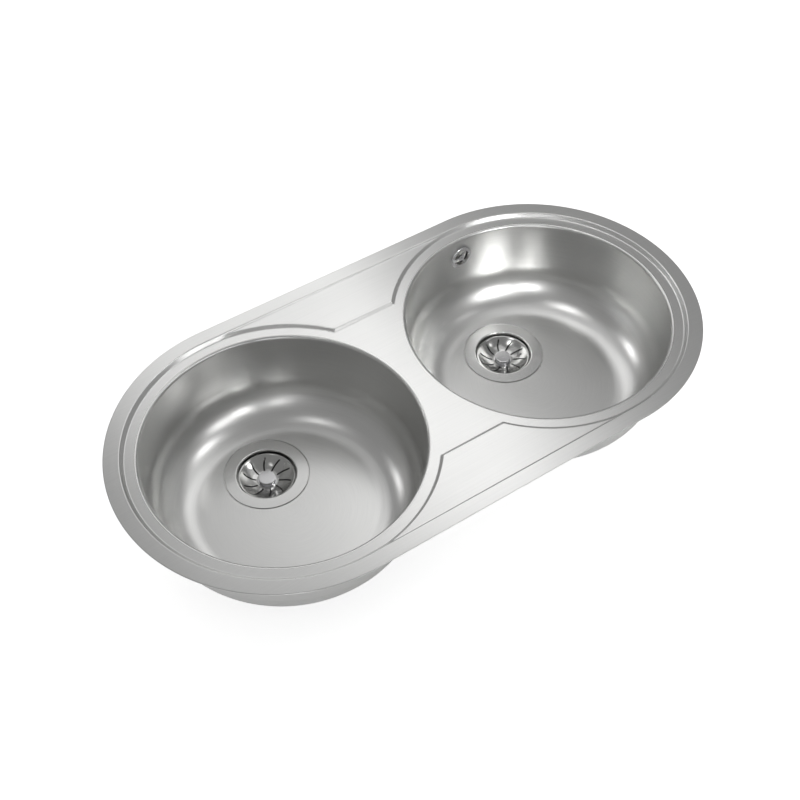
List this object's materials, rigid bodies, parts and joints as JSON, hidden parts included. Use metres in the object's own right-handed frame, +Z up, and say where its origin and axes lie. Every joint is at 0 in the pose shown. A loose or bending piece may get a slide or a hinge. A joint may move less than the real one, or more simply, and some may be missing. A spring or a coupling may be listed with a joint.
{
  "type": "double bowl kitchen sink",
  "caption": "Inset stainless steel sink with two round bowls side by side, basket strainer wastes, an overflow and fixing clips.",
  "frame": {"origin": "centre of the worktop cut-out, in the plane of the worktop's top face", "axes": "+X along the deck towards the bowl with the overflow, +Y to the rear, +Z up"},
  "size_m": [0.84, 0.44, 0.208],
  "materials": {
    "deck_steel": "fine brushed along the deck",
    "bowl_steel": "satin, drawn",
    "flange_steel": "satin",
    "strainer_steel": "satin",
    "knob_steel": "polished",
    "screw_steel": "turned",
    "black_rubber": "matt",
    "white_plastic": "moulded",
    "hose_plastic": "moulded",
    "hose_collar": "moulded",
    "zinc_steel": "zinc plated",
    "foam": "closed cell foam",
    "sound_pad": "matt"
  },
  "bodies": {
    "root": {"body_gasket_left": "black_rubber", "body_gasket_right": "black_rubber", "bowl_left": "bowl_steel", "bowl_right": "bowl_steel", "centre_screw_left": "screw_steel", "centre_screw_right": "screw_steel", "clip_brackets": "zinc_steel", "clip_nuts": "zinc_steel", "deck": "deck_steel", "flange_gasket_left": "black_rubber", "flange_gasket_right": "black_rubber", "hose_collar_lower": "hose_collar", "hose_collar_upper": "hose_collar", "overflow_elbow": "white_plastic", "overflow_gasket": "black_rubber", "overflow_hose": "hose_plastic", "overflow_rosette": "knob_steel", "overflow_screw": "screw_steel", "rim_seal": "foam", "sound_pad_left": "sound_pad", "sound_pad_right": "sound_pad", "waste_body_left": "white_plastic", "waste_body_right": "white_plastic", "waste_flange_left": "flange_steel", "waste_flange_right": "flange_steel"},
    "strainer_left": {"strainer_left": "strainer_steel", "strainer_knob_left": "knob_steel", "strainer_stem_left": "screw_steel", "plug_seal_left": "black_rubber", "plug_retainer_left": "screw_steel"},
    "strainer_right": {"strainer_right": "strainer_steel", "strainer_knob_right": "knob_steel", "strainer_stem_right": "screw_steel", "plug_seal_right": "black_rubber", "plug_retainer_right": "screw_steel"},
    "clip_washer_1": {"clip_washer_1": "zinc_steel"},
    "clip_screw_1": {"clip_screw_1": "zinc_steel"},
    "clip_claw_1": {"clip_claw_1": "zinc_steel"},
    "clip_washer_2": {"clip_washer_2": "zinc_steel"},
    "clip_screw_2": {"clip_screw_2": "zinc_steel"},
    "clip_claw_2": {"clip_claw_2": "zinc_steel"},
    "clip_washer_3": {"clip_washer_3": "zinc_steel"},
    "clip_screw_3": {"clip_screw_3": "zinc_steel"},
    "clip_claw_3": {"clip_claw_3": "zinc_steel"},
    "clip_washer_4": {"clip_washer_4": "zinc_steel"},
    "clip_screw_4": {"clip_screw_4": "zinc_steel"},
    "clip_claw_4": {"clip_claw_4": "zinc_steel"},
    "clip_washer_5": {"clip_washer_5": "zinc_steel"},
    "clip_screw_5": {"clip_screw_5": "zinc_steel"},
    "clip_claw_5": {"clip_claw_5": "zinc_steel"},
    "clip_washer_6": {"clip_washer_6": "zinc_steel"},
    "clip_screw_6": {"clip_screw_6": "zinc_steel"},
    "clip_claw_6": {"clip_claw_6": "zinc_steel"}
  },
  "joints": [
    {"name": "strainer_left_lift_out", "type": "slide", "parent": "root", "child": "strainer_left", "axis": [0, 0, 1], "range_m": [0, 0.19]},
    {"name": "strainer_right_lift_out", "type": "slide", "parent": "root", "child": "strainer_right", "axis": [0, 0, 1], "range_m": [0, 0.19]},
    {"name": "clip_1_lower", "type": "slide", "parent": "root", "child": "clip_washer_1", "axis": [0, 0, -1], "range_m": [0, 0.0164]},
    {"name": "clip_1_screw_turn", "type": "hinge", "parent": "clip_washer_1", "child": "clip_screw_1", "pos_m": [-0.1672, -0.18613, 0], "axis": [0, 0, -1], "range_deg": [0, 7380]},
    {"name": "clip_1_claw_swing", "type": "hinge", "parent": "clip_washer_1", "child": "clip_claw_1", "pos_m": [-0.1672, -0.18613, 0], "axis": [0, 0, -1], "range_deg": [0, 90]},
    {"name": "clip_2_lower", "type": "slide", "parent": "root", "child": "clip_washer_2", "axis": [0, 0, -1], "range_m": [0, 0.0164]},
    {"name": "clip_2_screw_turn", "type": "hinge", "parent": "clip_washer_2", "child": "clip_screw_2", "pos_m": [-0.389, 0, 0], "axis": [0, 0, -1], "range_deg": [0, 7380]},
    {"name": "clip_2_claw_swing", "type": "hinge", "parent": "clip_washer_2", "child": "clip_claw_2", "pos_m": [-0.389, 0, 0], "axis": [0, 0, -1], "range_deg": [0, 90]},
    {"name": "clip_3_lower", "type": "slide", "parent": "root", "child": "clip_washer_3", "axis": [0, 0, -1], "range_m": [0, 0.0164]},
    {"name": "clip_3_screw_turn", "type": "hinge", "parent": "clip_washer_3", "child": "clip_screw_3", "pos_m": [-0.1672, 0.18613, 0], "axis": [0, 0, -1], "range_deg": [0, 7380]},
    {"name": "clip_3_claw_swing", "type": "hinge", "parent": "clip_washer_3", "child": "clip_claw_3", "pos_m": [-0.1672, 0.18613, 0], "axis": [0, 0, -1], "range_deg": [0, 90]},
    {"name": "clip_4_lower", "type": "slide", "parent": "root", "child": "clip_washer_4", "axis": [0, 0, -1], "range_m": [0, 0.0164]},
    {"name": "clip_4_screw_turn", "type": "hinge", "parent": "clip_washer_4", "child": "clip_screw_4", "pos_m": [0.1672, -0.18613, 0], "axis": [0, 0, -1], "range_deg": [0, 7380]},
    {"name": "clip_4_claw_swing", "type": "hinge", "parent": "clip_washer_4", "child": "clip_claw_4", "pos_m": [0.1672, -0.18613, 0], "axis": [0, 0, -1], "range_deg": [0, 90]},
    {"name": "clip_5_lower", "type": "slide", "parent": "root", "child": "clip_washer_5", "axis": [0, 0, -1], "range_m": [0, 0.0164]},
    {"name": "clip_5_screw_turn", "type": "hinge", "parent": "clip_washer_5", "child": "clip_screw_5", "pos_m": [0.389, 0, 0], "axis": [0, 0, -1], "range_deg": [0, 7380]},
    {"name": "clip_5_claw_swing", "type": "hinge", "parent": "clip_washer_5", "child": "clip_claw_5", "pos_m": [0.389, 0, 0], "axis": [0, 0, -1], "range_deg": [0, 90]},
    {"name": "clip_6_lower", "type": "slide", "parent": "root", "child": "clip_washer_6", "axis": [0, 0, -1], "range_m": [0, 0.0164]},
    {"name": "clip_6_screw_turn", "type": "hinge", "parent": "clip_washer_6", "child": "clip_screw_6", "pos_m": [0.1672, 0.18613, 0], "axis": [0, 0, -1], "range_deg": [0, 7380]},
    {"name": "clip_6_claw_swing", "type": "hinge", "parent": "clip_washer_6", "child": "clip_claw_6", "pos_m": [0.1672, 0.18613, 0], "axis": [0, 0, -1], "range_deg": [0, 90]}
  ],
  "couplings": [
    {"joint": "clip_1_screw_turn", "follows": "clip_1_lower", "rad_per_m": 7854},
    {"joint": "clip_2_screw_turn", "follows": "clip_2_lower", "rad_per_m": 7854},
    {"joint": "clip_3_screw_turn", "follows": "clip_3_lower", "rad_per_m": 7854},
    {"joint": "clip_4_screw_turn", "follows": "clip_4_lower", "rad_per_m": 7854},
    {"joint": "clip_5_screw_turn", "follows": "clip_5_lower", "rad_per_m": 7854},
    {"joint": "clip_6_screw_turn", "follows": "clip_6_lower", "rad_per_m": 7854}
  ]
}
